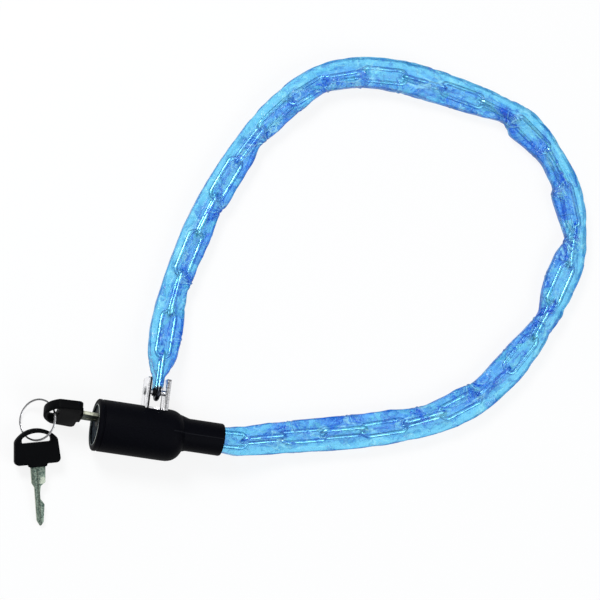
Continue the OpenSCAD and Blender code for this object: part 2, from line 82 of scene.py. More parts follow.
class Wire:
    """A socket of a finish. Arithmetic on it adds Math nodes."""

    def __init__(self, finish, socket):
        self.finish, self.socket = finish, socket

    def calc(self, operation, *values):
        return self.finish.node("ShaderNodeMath", {"operation": operation}, *values)[0]

    def __add__(self, other): return self.calc("ADD", self, other)
    def __radd__(self, other): return self.calc("ADD", other, self)
    def __sub__(self, other): return self.calc("SUBTRACT", self, other)
    def __rsub__(self, other): return self.calc("SUBTRACT", other, self)
    def __mul__(self, other): return self.calc("MULTIPLY", self, other)
    def __rmul__(self, other): return self.calc("MULTIPLY", other, self)
    def __truediv__(self, other): return self.calc("DIVIDE", self, other)
    def __pow__(self, other): return self.calc("POWER", self, other)
    def __abs__(self): return self.calc("ABSOLUTE", self)
    def above(self, level): return self.calc("GREATER_THAN", self, level)
    def least(self, other): return self.calc("MINIMUM", self, other)
    def most(self, other): return self.calc("MAXIMUM", self, other)

    def between(self, low, high, to_low=0.0, to_high=1.0):
        """Runs smoothly from to_low at low to to_high at high."""
        return self.finish.node("ShaderNodeMapRange", {"interpolation_type": "SMOOTHSTEP", "clamp": True},
                                self, low, high, to_low, to_high)[0]


class Outputs:
    def __init__(self, finish, node):
        self.finish, self.made = finish, node

    def __getitem__(self, key):
        return Wire(self.finish, self.made.outputs[key])


class Finish:
    """A material, built up from nodes, that ends in one Principled shader."""

    def __init__(self, name):
        self.material = bpy.data.materials.new(name)
        self.material.use_nodes = True
        self.tree = self.material.node_tree
        self.tree.nodes.clear()
        self.end = self.tree.nodes.new("ShaderNodeOutputMaterial")
        self.shader = self.tree.nodes.new("ShaderNodeBsdfPrincipled")
        self.tree.links.new(self.shader.outputs[0], self.end.inputs["Surface"])

    def put(self, socket, value):
        if isinstance(value, Wire):
            self.tree.links.new(value.socket, socket)
        elif isinstance(value, (tuple, list)) and len(value) == 3 and socket.type == "RGBA":
            socket.default_value = (*value, 1.0)
        else:
            socket.default_value = value

    def node(self, kind, settings=None, *values, **named):
        made = self.tree.nodes.new(kind)
        for key, value in (settings or {}).items():
            setattr(made, key, value)
        for socket, value in zip(made.inputs, values):
            if value is not None:
                self.put(socket, value)
        for key, value in named.items():
            self.put(made.inputs[key.replace("_", " ")], value)
        return Outputs(self, made)

    def set(self, **named):
        for key, value in named.items():
            self.put(self.shader.inputs[key.replace("_", " ")], value)
        return self

    def coords(self, scale=(1, 1, 1), turn=(0, 0, 0), shift=(0, 0, 0)):
        at = self.node("ShaderNodeTexCoord")["Object"]
        return self.node("ShaderNodeMapping", {}, at, shift, turn, scale)[0]

    def axes(self, vector):
        split = self.node("ShaderNodeSeparateXYZ", {}, vector)
        return split[0], split[1], split[2]

    def own(self, name):
        return self.node("ShaderNodeAttribute", {"attribute_name": name})["Fac"]

    def speckle(self, vector, size, detail=2.0, rough=0.5, bend=0.0):
        """Noise with features about size metres across."""
        return self.node("ShaderNodeTexNoise", {}, Vector=vector, Scale=1.0 / size, Detail=detail,
                         Roughness=rough, Distortion=bend)["Fac"]

    def cells(self, vector, size):
        """Distance from the middles of cells about size metres across."""
        return self.node("ShaderNodeTexVoronoi", {"feature": "F1"}, Vector=vector,
                         Scale=1.0 / size)["Distance"]

    def blend(self, share, a, b):
        made = self.node("ShaderNodeMix", {"data_type": "RGBA"}).made
        self.put(made.inputs["Factor"], share)
        for socket, value in zip([s for s in made.inputs if s.type == "RGBA"], (a, b)):
            self.put(socket, value)
        return Wire(self, [s for s in made.outputs if s.type == "RGBA"][0])

    def relief(self, height, strength, depth):
        """Bump from a height that runs from 0 to 1, depth metres deep."""
        self.put(self.shader.inputs["Normal"],
                 self.node("ShaderNodeBump", {}, Strength=strength, Distance=depth, Height=height)["Normal"])
        return self


# ---------------------------------------------------------------- finishes

def moulded_black(name, tone, grain, line=False):
    """Black plastic from a spark-eroded mould: fine grain, faint flow marks and, with line, the
    mould's parting line along the top of the tail."""
    f = Finish(name)
    at = f.coords()
    fine = f.speckle(at, grain, 3.0, 0.6)
    coarse = f.speckle(at, grain * 12, 2.0)
    flow = f.speckle(f.coords((30, 90, 90)), 1.0, 3.0, 0.6, 0.4)
    colour = f.blend(fine.between(0.35, 0.75), tone, tuple(1.9 * c + 0.001 for c in tone))
    colour = f.blend(coarse.between(0.55, 0.8) * 0.4, colour, tuple(1.4 * c + 0.0012 for c in tone))
    rough = 0.42 + 0.16 * fine + 0.12 * flow
    height = 0.75 * fine + 0.25 * coarse
    if line:
        x, y, z = f.axes(at)
        seam = abs(y - 0.0018).between(0.00005, 0.00028, 1.0, 0.0)
        seam = seam * z.above(BARREL_HEIGHT * MM) * x.above(0.0095)
        height = height + 1.6 * seam
        colour = f.blend(seam * 0.3, colour, (0.03, 0.032, 0.038))
    f.set(Base_Color=colour, Roughness=rough, Specular_IOR_Level=0.03)
    return f.relief(height, 0.35, 0.00008).material


def bright_plate(name, tone, along="X", rough=0.2):
    """Bright plating over drawn or pressed steel, with fine lines along its length."""
    f = Finish(name)
    stretch = {"X": (40, 3200, 3200), "Y": (3200, 40, 3200), "Z": (3200, 3200, 40)}[along]
    lines = f.speckle(f.coords(stretch), 1.0, 3.0, 0.7)
    cloud = f.speckle(f.coords(), 0.0035, 3.0, 0.55)
    pits = f.cells(f.coords(), 0.0006)
    colour = f.blend(cloud.between(0.35, 0.75), tone, tuple(0.72 * c for c in tone))
    colour = f.blend(lines.between(0.6, 0.85) * 0.35, colour, tuple(0.5 * c for c in tone))
    f.set(Base_Color=colour, Metallic=1.0, Roughness=rough + 0.16 * lines + 0.1 * cloud)
    return f.relief(0.8 * lines + 0.2 * pits, 0.12, 0.00004).material


def folded_plate():
    """The fork: bright plated faces, dark torn edges where the blank was sheared, and painted shade, near
    black and less metallic, in the inside corners where the legs meet the web.
    """
    f = Finish("fork_plate")
    x, y, z = f.axes(f.coords())
    nx = f.axes(f.node("ShaderNodeTexCoord")["Normal"])[0]
    lines = f.speckle(f.coords((3000, 60, 3000)), 1.0, 3.0, 0.7)
    tear = f.speckle(f.coords((900, 2500, 900)), 1.0, 3.0, 0.7)
    cloud = f.speckle(f.coords(), 0.0035, 3.0, 0.55)
    edge = abs(nx).between(0.75, 0.45) * abs(x).above(0.0042)
    # the punch leaves a bright band and a dark torn one on a sheared edge
    dull = f.blend(x.above(0.0), f.blend(tear.between(0.45, 0.75), (0.006, 0.006, 0.008), (0.1, 0.1, 0.105)),
                   f.blend(tear.between(0.4, 0.6), (0.1, 0.1, 0.105), (0.4, 0.405, 0.41)))
    bright = f.blend(tear.between(0.35, 0.65), (0.3, 0.3, 0.31), (0.68, 0.68, 0.7))
    torn = f.blend(abs(x).between(0.0054, 0.0051), bright, dull)
    colour = f.blend(cloud.between(0.35, 0.75), (0.93, 0.93, 0.94), (0.82, 0.82, 0.86))
    colour = f.blend(edge, colour, torn)
    # painted shade: the inside corners where the legs meet the web are painted near black
    crook_painted_shade = abs(abs(x) - 0.00425).between(0.00055, 0.0002) * z.between(0.0105, 0.0099)
    colour = f.blend(crook_painted_shade, colour, (0.012, 0.012, 0.016))
    f.set(Base_Color=colour, Metallic=1.0 - 0.7 * crook_painted_shade, Roughness=0.14 + 0.1 * lines + 0.3 * edge)
    return f.relief(0.4 * lines + 0.6 * tear * edge, 0.15, 0.00005).material


def rim_wire():
    """The bright wire ring in the mouth, darkened and dulled towards its foot by painted shade."""
    f = Finish("rim_wire")
    x, y, z = f.axes(f.coords())
    cloud = f.speckle(f.coords(), 0.0025, 3.0, 0.6)
    fine = f.speckle(f.coords(), 0.0003, 2.0, 0.6)
    # painted shade: the lower part of the ring is painted dark, dull and rough, leaving its top bright
    foot_painted_shade = (z + 0.005 * cloud).between(0.0225, 0.0165)
    colour = f.blend(cloud.between(0.35, 0.7), (0.72, 0.78, 0.74), (0.42, 0.47, 0.45))
    colour = f.blend(foot_painted_shade * 0.93, colour, (0.03, 0.05, 0.055))
    f.set(Base_Color=colour, Metallic=1.0 - 0.5 * foot_painted_shade, Roughness=0.2 + 0.2 * fine + 0.3 * foot_painted_shade)
    return f.relief(fine, 0.15, 0.00004).material


def die_cast():
    """Unplated zinc from the die: dull grey, mottled, slightly pitted."""
    f = Finish("zinc_casting")
    cloud = f.speckle(f.coords(), 0.004, 4.0, 0.6)
    fine = f.speckle(f.coords(), 0.0004, 3.0, 0.6)
    pits = f.cells(f.coords(), 0.0009)
    colour = f.blend(cloud.between(0.3, 0.7), (0.30, 0.31, 0.33), (0.19, 0.2, 0.215))
    f.set(Base_Color=colour, Metallic=0.85, Roughness=0.4 + 0.25 * fine)
    return f.relief(0.6 * fine + 0.4 * pits, 0.3, 0.00008).material


def brass(name, tone, worn, along, painted_shade_x=-1.0):
    """Rolled brass: fine lines, dull in the hollows, and painted black as shade where x is under the given
    limit (the plug's nose in the recessed mouth).
    """
    f = Finish(name)
    lines = f.speckle(f.coords(along), 1.0, 3.0, 0.65)
    cloud = f.speckle(f.coords(), 0.003, 3.0, 0.6)
    spots = f.cells(f.coords(), 0.0013)
    colour = f.blend(cloud.between(0.3, 0.72), tone, worn)
    colour = f.blend(lines.between(0.55, 0.85) * 0.4, colour, tuple(0.45 * c for c in tone))
    colour = f.blend(spots.between(0.0, 0.12, 0.35, 0.0), colour, tuple(0.35 * c for c in worn))
    # painted shade: near black where the plug's nose sits in the recessed mouth
    black = f.axes(f.coords())[0].between(painted_shade_x + 0.0002, painted_shade_x)
    colour = f.blend(black * (1.0 - 0.08 * lines), colour, (0.006, 0.008, 0.009))
    f.set(Base_Color=colour, Metallic=1.0 - 0.9 * black,
          Roughness=0.24 + 0.2 * lines + 0.14 * cloud + 0.2 * black, Specular_IOR_Level=0.15)
    return f.relief(lines, 0.15, 0.00005).material


def key_blank(name, flat, dark, rubbed, face, patch):
    """A carried key: nickelled brass gone dull and green-grey on its flats, rubbed bright on its
    edges and in a small square at patch."""
    f = Finish(name)
    normal = f.node("ShaderNodeTexCoord")["Normal"]
    flatness = abs(f.node("ShaderNodeVectorMath", {"operation": "DOT_PRODUCT"}, normal, face)["Value"])
    grime = f.speckle(f.coords(), 0.0011, 3.0, 0.7)
    cloud = f.speckle(f.coords(), 0.004, 2.0, 0.5)
    scratch = f.speckle(f.coords((900, 900, 900)), 1.0, 3.0, 0.7, 2.0)
    edge = flatness.between(0.9, 0.6)
    colour = f.blend(grime.between(0.42, 0.62), flat, dark)
    colour = f.blend(cloud.between(0.5, 0.72) * 0.5, colour, tuple(1.5 * c for c in flat))
    colour = f.blend(edge * (1.0 - 0.6 * grime.between(0.5, 0.65)), colour, rubbed)
    x, y, z = f.axes(f.coords())
    far = abs(x - patch[0]).most(abs(y - patch[1]))
    worn = far.between(0.0021, 0.0016) * scratch.between(0.25, 0.6)
    colour = f.blend(worn, colour, tuple(0.62 * c for c in rubbed))
    f.set(Base_Color=colour, Metallic=0.9, Roughness=0.34 + 0.2 * grime)
    return f.relief(0.5 * grime + 0.5 * scratch, 0.25, 0.00006).material


def chain_zinc(name="chain_zinc", bright=1.0, painted_shade_y=-1.0):
    """Zinc plated chain wire: bright, with draw lines and dull patches at the crowns, and painted
    black as shade where y is under the given limit."""
    f = Finish(name)
    cloud = f.speckle(f.coords(), 0.0028, 4.0, 0.6)
    fine = f.speckle(f.coords(), 0.0003, 3.0, 0.6)
    colour = f.blend(cloud.between(0.35, 0.75), tuple(bright * c for c in (0.86, 0.88, 0.9)),
                     tuple(bright * c for c in (0.55, 0.57, 0.6)))
    # painted shade: the wire goes near black where it runs between the fork's legs
    link_painted_shade = (f.axes(f.coords())[1] + 0.002 * (cloud - 0.5)).between(painted_shade_y + 0.0015, painted_shade_y)
    colour = f.blend(link_painted_shade * 0.97, colour, (0.004, 0.006, 0.012))
    f.set(Base_Color=colour, Metallic=1.0, Roughness=0.17 + 0.12 * fine + 0.1 * cloud)
    return f.relief(fine, 0.15, 0.00004).material


def pressed_face():
    """The face plate: turned rings on steel painted near black as shade in the recessed mouth, rubbed bright
    on its rim.
    """
    f = Finish("face_steel")
    x, y, z = f.axes(f.coords(shift=(0, 0, -BARREL_HEIGHT * MM)))
    radius = (y * y + z * z) ** 0.5
    rings = f.speckle(f.node("ShaderNodeCombineXYZ", {}, radius * 4200.0, 0.0, 0.0)[0], 1.0, 3.0, 0.7)
    cloud = f.speckle(f.coords(), 0.003, 3.0, 0.6)
    rim = radius.between(0.0101, 0.0104)
    # painted shade: the plate's colour is kept near black for the shade in the recessed mouth
    colour = f.blend(cloud.between(0.35, 0.65), (0.002, 0.004, 0.007), (0.022, 0.036, 0.05))
    colour = f.blend(rings.between(0.55, 0.8) * 0.35, colour, (0.05, 0.07, 0.09))
    colour = f.blend(rim, colour, (0.3, 0.34, 0.34))
    f.set(Base_Color=colour, Metallic=0.7 * rim, Roughness=0.5 + 0.2 * rings - 0.12 * rim,
          Specular_IOR_Level=0.02)
    return f.relief(rings, 0.12, 0.00004).material


def blue_vinyl(name, solid, tint, deep, pale, inside=False):
    """Thin soft vinyl tube: clear blue film that shows the chain, glossy, creased and a little
    milky. The share of solid colour grows in its creases, where it paints shade in their bottoms and
    highlight on their ridges, and on its underside as painted shade; its faint glow in its own colour is
    painted light; the rest is clear film of the tint."""
    f = Finish(name)
    side, fold, under = f.own("side"), f.own("fold"), f.own("under")
    kink, hard, over = f.own("kink"), f.own("hard"), f.own("over")
    lie = f.node("ShaderNodeUVMap", {})["UV"]
    cloud = f.speckle(f.coords(), 0.012, 3.0, 0.5, 0.8)
    fine = f.speckle(f.coords(), 0.0016, 2.0, 0.5)
    drift = f.speckle(f.coords(), 0.006, 2.0, 0.6)
    sway = f.node("ShaderNodeCombineXYZ", {}, drift * 1.3, drift * -0.9, 0.0)[0]

    def laid(along, across, shift=0.0):
        """The film laid flat and bent a little, in cells of the given count along and across."""
        film = f.node("ShaderNodeMapping", {}, lie, (shift, shift, 0), None, (along, across, 1))[0]
        return f.node("ShaderNodeVectorMath", {"operation": "ADD"}, film, sway)[0]

    def crease(along, across, shift, width):
        """Thin meandering folds, 0 to 1."""
        film = laid(along, across, shift)
        wave = f.node("ShaderNodeTexNoise", {}, Vector=film, Scale=1.0, Detail=1.0)["Fac"]
        return 1.0 - abs(wave - 0.5).between(0.0, width)

    band = side.between(-0.1, -0.7)
    facets, laps = laid(64.0, 8.0), laid(110.0, 13.0, 3.7)
    ridge = f.node("ShaderNodeTexVoronoi", {"feature": "DISTANCE_TO_EDGE"}, Vector=facets,
                   Scale=1.0)["Distance"]
    tone = f.axes(f.node("ShaderNodeTexVoronoi", {"feature": "SMOOTH_F1"}, Vector=facets, Scale=1.0,
                         Smoothness=0.12)["Color"])[0]
    lap = f.axes(f.node("ShaderNodeTexVoronoi", {"feature": "SMOOTH_F1"}, Vector=laps, Scale=1.0,
                        Smoothness=0.1)["Color"])[1]
    long_dark = crease(30.0, 6.5, 0.0, 0.065) * cloud.between(0.42, 0.52)
    long_pale = crease(36.0, 7.5, 5.3, 0.06) * cloud.between(0.56, 0.45)
    short = crease(120.0, 10.0, 9.1, 0.08) * drift.between(0.48, 0.58) * (1.0 - 0.6 * band)
    seam = ridge.between(0.07, 0.0) * drift.between(0.4, 0.55)
    # creases that fan out from each buckle on the inner side
    turn = kink / (over + 2.0)
    spread = f.node("ShaderNodeCombineXYZ", {}, turn * 3.1, hard * 5.0, drift * 0.35)[0]
    fan = f.speckle(spread, 1.0, 1.0, 0.5)
    near = (hard * over.between(17.0, 1.0) * abs(turn).between(1.9, 0.9)).least(1.2)
    fan_dark = (1.0 - abs(fan - 0.46).between(0.0, 0.06)) * near
    fan_pale = (1.0 - abs(fan - 0.57).between(0.0, 0.05)) * near
    inner = side.between(0.1, 0.7)
    rim = abs(side).between(0.9, 0.98)
    dent = fold.between(0.5, 0.08)
    peak = fold.between(0.55, 0.9)
    shade = (0.0, 0.17, 0.95)
    crease_shade_colour = (0.0, 0.055, 0.5)
    light = (0.45, 1.0, 1.0)
    edge_tone = (0.0, 0.1, 0.42)
    deep_cell = tone.between(0.5, 0.36) * (1.0 - 0.9 * band)
    pale_cell = tone.between(0.56, 0.72)
    deep_lap = lap.between(0.42, 0.3) * (1.0 - 0.85 * band)
    pale_lap = lap.between(0.62, 0.75)
    # painted shade in the bottoms of the folds and creases, and painted highlight on their ridges
    painted_crease_shade = (dent * 0.7).most(fan_dark * 0.9).most(long_dark * 0.9).most(short * 0.7).most(seam * 0.6)
    painted_ridge_highlight = (peak * 0.5).most(fan_pale * 0.8).most(long_pale * 0.8)
    colour = f.blend(band, deep, pale)
    colour = f.blend(pale_cell.most(pale_lap * 0.7), colour, pale)
    colour = f.blend(deep_cell.most(deep_lap * 0.8), colour, shade)
    colour = f.blend(painted_ridge_highlight, colour, light)
    colour = f.blend(painted_crease_shade, colour, crease_shade_colour)
    colour = f.blend(rim * 0.9, colour, edge_tone)
    # The emission is painted light: the film glows faintly in its own colour, for light scattered through it.
    f.set(Base_Color=colour, Emission_Color=colour, Emission_Strength=0.15,
          Roughness=0.12 + 0.12 * cloud + 0.06 * fine, Specular_IOR_Level=0.5)
    f.relief(0.3 * cloud + 0.5 * ridge.between(0.0, 0.3) - 0.3 * long_dark - 0.2 * short - 0.4 * fan_dark
             + 0.35 * long_pale + 0.35 * fan_pale + 0.08 * fine, 0.85, 0.0008)
    clear = f.node("ShaderNodeBsdfTransparent", {}, tint)
    edge = f.node("ShaderNodeLayerWeight", {}, 0.5)["Facing"]
    if inside:
        share = solid + 0.04 * cloud
    else:
        # The solid share carries painted shade on the underside and in the creases, and painted highlight on
        # the ridges.
        share = (solid + 0.13 * deep_cell + 0.06 * deep_lap + 0.02 * pale_cell + 0.03 * pale_lap
                 + 0.04 * band + 0.08 * inner + 0.06 * under * (1.0 - band) + 0.5 * fan_dark
                 + 0.24 * dent + 0.34 * long_dark + 0.2 * short + 0.13 * seam + 0.38 * fan_pale
                 + 0.2 * long_pale + 0.08 * peak + 0.5 * rim + 0.05 * (fine - 0.5)
                 + 0.06 * edge ** 3.0).least(0.95)
    both = f.node("ShaderNodeMixShader", {}, share)
    f.tree.links.new(clear.made.outputs[0], both.made.inputs[1])
    f.tree.links.new(f.shader.outputs[0], both.made.inputs[2])
    f.tree.links.new(both.made.outputs[0], f.end.inputs["Surface"])
    return f.material


# ---------------------------------------------------------------- stage

def studio():
    scene = bpy.context.scene
    scene.view_settings.view_transform = "Standard"
    world = bpy.data.worlds.new("studio")
    scene.world = world
    world.use_nodes = True
    tree = world.node_tree
    tree.nodes.clear()
    out = tree.nodes.new("ShaderNodeOutputWorld")
    path = tree.nodes.new("ShaderNodeLightPath")
    light = tree.nodes.new("ShaderNodeBackground")
    light.inputs[0].default_value, light.inputs[1].default_value = (0.93, 0.96, 1.0, 1), 0.42
    seen = tree.nodes.new("ShaderNodeBackground")
    seen.inputs[0].default_value, seen.inputs[1].default_value = (1, 1, 1, 1), 1.0
    # in the metal, the white ceiling stands over a dark wall
    where = tree.nodes.new("ShaderNodeTexCoord")
    height = tree.nodes.new("ShaderNodeSeparateXYZ")
    wall = tree.nodes.new("ShaderNodeMapRange")
    wall.interpolation_type = "SMOOTHSTEP"
    for socket, value in zip(wall.inputs[1:5], (0.3, 0.62, 0.05, 1.0)):
        socket.default_value = value
    room = tree.nodes.new("ShaderNodeBackground")
    tree.links.new(where.outputs["Generated"], height.inputs[0])
    tree.links.new(height.outputs[2], wall.inputs[0])
    tree.links.new(wall.outputs[0], room.inputs[1])
    gloss = tree.nodes.new("ShaderNodeMixShader")
    tree.links.new(path.outputs["Is Glossy Ray"], gloss.inputs[0])
    tree.links.new(light.outputs[0], gloss.inputs[1])
    tree.links.new(room.outputs[0], gloss.inputs[2])
    mix = tree.nodes.new("ShaderNodeMixShader")
    tree.links.new(path.outputs["Is Camera Ray"], mix.inputs[0])
    tree.links.new(gloss.outputs[0], mix.inputs[1])
    tree.links.new(seen.outputs[0], mix.inputs[2])
    tree.links.new(mix.outputs[0], out.inputs[0])

    bm = bmesh.new()
    bmesh.ops.create_grid(bm, x_segments=2, y_segments=2, size=3.0)
    bmesh.ops.translate(bm, verts=bm.verts, vec=(0.08, 0.08, -0.0004))
    mesh = bpy.data.meshes.new("floor")
    bm.to_mesh(mesh)
    bm.free()
    floor = bpy.data.objects.new("floor", mesh)
    scene.collection.objects.link(floor)
    f = Finish("floor_paper")
    f.set(Base_Color=(0.82, 0.83, 0.84), Roughness=0.9, Specular_IOR_Level=0.1)
    path = f.node("ShaderNodeLightPath")
    share = path["Is Camera Ray"].most(path["Is Glossy Ray"]).most(path["Is Transmission Ray"])
    glow = f.node("ShaderNodeEmission", {}, (1, 1, 1), 1.0)
    both = f.node("ShaderNodeMixShader", {}, share * 0.86)
    f.tree.links.new(f.shader.outputs[0], both.made.inputs[1])
    f.tree.links.new(glow.made.outputs[0], both.made.inputs[2])
    f.tree.links.new(both.made.outputs[0], f.end.inputs["Surface"])
    mesh.materials.append(f.material)

    def lamp(name, place, aim, width, power, tone=(1, 1, 1)):
        data = bpy.data.lights.new(name, "AREA")
        data.shape, data.size, data.energy, data.color = "DISK", width, power, tone
        made = bpy.data.objects.new(name, data)
        scene.collection.objects.link(made)
        made.location = place
        made.rotation_euler = (Vector(aim) - Vector(place)).to_track_quat("-Z", "Y").to_euler()

    lamp("key_light", (-0.75, 0.75, 1.15), (0.08, 0.09, 0), 0.55, 17)
    lamp("fill_light", (0.9, -0.5, 1.0), (0.08, 0.09, 0), 0.9, 8, (0.95, 0.98, 1.0))


studio()


# ---------------------------------------------------------------- making a piece

def new_piece(bm, name, *materials, sharp=None):
    """An object from a bmesh, shaded round but for edges sharper than the given degrees."""
    mesh = bpy.data.meshes.new(name)
    bm.to_mesh(mesh)
    bm.free()
    for polygon in mesh.polygons:
        polygon.use_smooth = True
    if sharp:
        mesh.set_sharp_from_angle(angle=math.radians(sharp))
    for material in materials:
        mesh.materials.append(material)
    made = bpy.data.objects.new(name, mesh)
    bpy.context.scene.collection.objects.link(made)
    return made


# ---------------------------------------------------------------- sleeve

# Heights and widths in millimetres: the chain's axis as it lies, and its route from the fork's
# rivet to the tail pin
LIE = 5.8
ROUTE = [(0.371871, 19.9547, 13.7975), (0.4, 25.5, 13), (0.6, 32, 12.1), (1.2, 42.5, 10.4), (2.2, 54, 7.8),
         (3, 66, 6), (4, 77.5, LIE), (6.3, 89, LIE), (9.3, 100.5, LIE), (12.4, 112, LIE), (20, 134, LIE),
         (29.5, 156, LIE), (41, 176.5, LIE), (56, 195, LIE), (73.5, 210, LIE), (96.5, 218.2, LIE),
         (120.5, 220, LIE), (144, 218, LIE), (168.3, 213.8, LIE), (191, 206.8, LIE), (210.5, 191.7, LIE),
         (224, 170.7, LIE), (230.4, 149.5, LIE), (229.2, 130.5, LIE), (224, 114, LIE), (217.2, 95.5, LIE),
         (208.5, 78.5, LIE), (197.5, 63, LIE), (181, 46, LIE), (160.5, 33, LIE), (138, 24.2, LIE),
         (114.8, 17.7, LIE), (91.3, 12.4, LIE + 0.1), (70, 7.6, 7.4), (56.7, 4.2, 10.6), (45, 2.1, 13.2),
         (28.7, 1.8, 13.5)]
LINKS = 29
# The links that turn as the fork is pulled, by distance along the route
TURN_AT, TURN_REACH = 226, 56
FLOOR_GAP = 0.03
RINGS, SIDES = 860, 52
SQUARENESS = 3.3
# Half the sleeve's width where it lies, in the fork and in the jacket's tail
HALF = 8.75
FORK_HALF = 2.3
END_HALF = 6.9
NECK = FORK_HALF - HALF


def route_curve(sub=48):
    """The route's fine points and the distance along it, in millimetres."""
    last = len(ROUTE) - 1
    at = [np.array(ROUTE[min(max(i, 0), last)], float) for i in range(-1, last + 3)]
    points = []
    for i in range(last):
        a, b, c, d = at[i], at[i + 1], at[i + 2], at[i + 3]
        for j in range(sub):
            t = j / sub
            points.append(0.5 * (2 * b + (c - a) * t + (2 * a - 5 * b + 4 * c - d) * t * t
                                 + (3 * b - a - 3 * c + d) * t ** 3))
    points.append(at[-2])
    points = np.array(points)
    run = np.concatenate([[0], np.cumsum(np.linalg.norm(np.diff(points, axis=0), axis=1))])
    return points, run


LINE, RUN = route_curve()
LENGTH = RUN[-1]
PITCH = LENGTH / LINKS
# Where the sleeve starts and ends along the route
S0, S1 = 6.8, LENGTH - 6.3
# What each side of the sleeve stands out beyond HALF, by distance along the route
OUTER = [(0, NECK), (11.4, NECK + .1), (12.6, -4.9), (15.5, -4.0), (24, -1.2), (36, .4), (60, -1.1),
         (96, -.3), (156, -1.3), (192, .3), (250, .6), (312, -.1), (324, -.5), (336, 1), (360, -1.1),
         (384, .2), (408, -2), (420, .1), (444, .1), (462, -1.7), (492, .1), (528, 1), (560, .3),
         (600, .5), (S1 - 40, -.1), (S1 - 12, -.9), (S1 - 4.6, END_HALF - HALF)]
INNER = [(0, NECK), (11.2, NECK + .1), (12.8, -4.9), (16, -3.2), (20, -1.4), (24, -.6), (36, .5),
         (60, -1.3), (96, -.3), (108, -2), (120, -.3), (144, -.5), (156, -2.9), (168, -.9), (192, -.9),
         (206, -2.2), (228, -1.2), (240, -.4), (276, .9), (300, 0), (312, -1.5), (322, -3.6),
         (327, -2.6), (331, 1.4), (337, 1.3), (348, .1), (360, -1.9), (370, -1.6), (376, -2.2),
         (380, .9), (386, .9), (396, -.3), (409, -3.9), (419, .5), (432, 1.9), (444, -.2),
         (456, -4.5), (468, -2.2), (480, -.2), (492, .4), (516, -1.2), (528, .8), (552, -.9),
         (576, 1), (600, 1), (S1 - 40, .1), (S1 - 12, -.9), (S1 - 4.6, END_HALF - HALF)]
# Half the sleeve's height, by distance along the route
TALL = [(0, LIE + .6), (S1 - 40, LIE + .6), (S1 - 12, LIE + 1), (S1 - 4.6, END_HALF - .4)]
# Where the inner side buckles as the sleeve bends round, and how hard
KINKS = [(34, .7), (67, 1), (112, 1.1), (161, 1.4), (189, .6), (212, 1.1), (233, .9), (258, .7), (290, .5),
         (326, 1.7), (352, .7), (379, 1.1), (410, 1.8), (436, .6), (461, 1.9), (488, .5), (520, 1), (556, .7),
         (598, .6), (632, .7)]


def on_route(run):
    """The route's points at the given distances along it."""
    return np.stack([np.interp(run, RUN, LINE[:, k]) for k in range(3)], 1)


def link_roll(k):
    """Roll of link k: each stands a quarter turn from the last, and the chain twists slowly."""
    if k <= 11:
        twist = 18 * max(0, k - 6)
    elif k <= 27:
        twist = 90 + 6 * max(0, k - 21)
    else:
        twist = 108 if k == 28 else 90
    return math.radians(90 * (k % 2) + twist)


def hull(points):
    """Convex hull of points in a plane, counter-clockwise."""
    points = sorted(set(map(tuple, points)))

    def half(run):
        out = []
        for p in run:
            while len(out) > 1 and ((out[-1][0] - out[-2][0]) * (p[1] - out[-2][1])
                                    - (out[-1][1] - out[-2][1]) * (p[0] - out[-2][0])) <= 0:
                out.pop()
            out.append(p)
        return out[:-1]
    return np.array(half(points) + half(points[::-1]))


def reach_of(shape, angles):
    """How far a convex shape round the origin reaches at each angle."""
    a, b = shape, np.roll(shape, -1, axis=0)
    d = b - a
    out = np.zeros(len(angles))
    for i, angle in enumerate(angles):
        u = np.array((math.cos(angle), math.sin(angle)))
        cross = u[0] * d[:, 1] - u[1] * d[:, 0]
        cross = np.where(abs(cross) < 1e-9, 1e-9, cross)
        t = (a[:, 0] * d[:, 1] - a[:, 1] * d[:, 0]) / cross
        k = (a[:, 0] * u[1] - a[:, 1] * u[0]) / cross
        hit = (k >= -1e-6) & (k <= 1 + 1e-6) & (t > 0)
        out[i] = t[hit].max() if hit.any() else 0
    return out


def chain_bars():
    """Middle and direction of each link as the chain lies."""
    joints = on_route(np.arange(LINKS + 1) * LENGTH / LINKS)
    mid, span = (joints[1:] + joints[:-1]) / 2, joints[1:] - joints[:-1]
    return mid, span / np.linalg.norm(span, axis=1)[:, None]


def route_frame(s):
    """Middle, direction, right and upper side of the sleeve at each distance along the route."""
    centre = on_route(s)
    ahead = on_route(s + 2) - on_route(s - 2)
    ahead /= np.linalg.norm(ahead, axis=1)[:, None]
    right = np.cross(ahead, [0, 0, 1])
    right /= np.linalg.norm(right, axis=1)[:, None]
    return centre, ahead, right, np.cross(right, ahead)


def soft(table, s, spread=1.3):
    """A table's values at the distances s, with its corners rounded."""
    fine = np.arange(-30, LENGTH + 30, 0.5)
    value = np.interp(fine, *zip(*table))
    kernel = np.exp(-0.5 * (np.arange(-20, 21) * 0.5 / spread) ** 2)
    value = np.convolve(value, kernel / kernel.sum(), "same")
    return np.interp(s, fine, value)


def squared(value):
    """A cosine or sine, drawn out to that of a squarish oval."""
    return np.sign(value) * abs(value) ** (2 / SQUARENESS)


def section_angles():
    """The section's points, spread evenly over the girth of the squarish oval."""
    fine = 2 * np.pi * np.arange(2881) / 2880
    across, high = 8.4 * squared(np.cos(fine)), 5.9 * squared(np.sin(fine))
    girth = np.concatenate([[0], np.cumsum(np.hypot(np.diff(across), np.diff(high)))])
    return np.interp(girth[-1] * np.arange(SIDES) / SIDES, girth, fine)


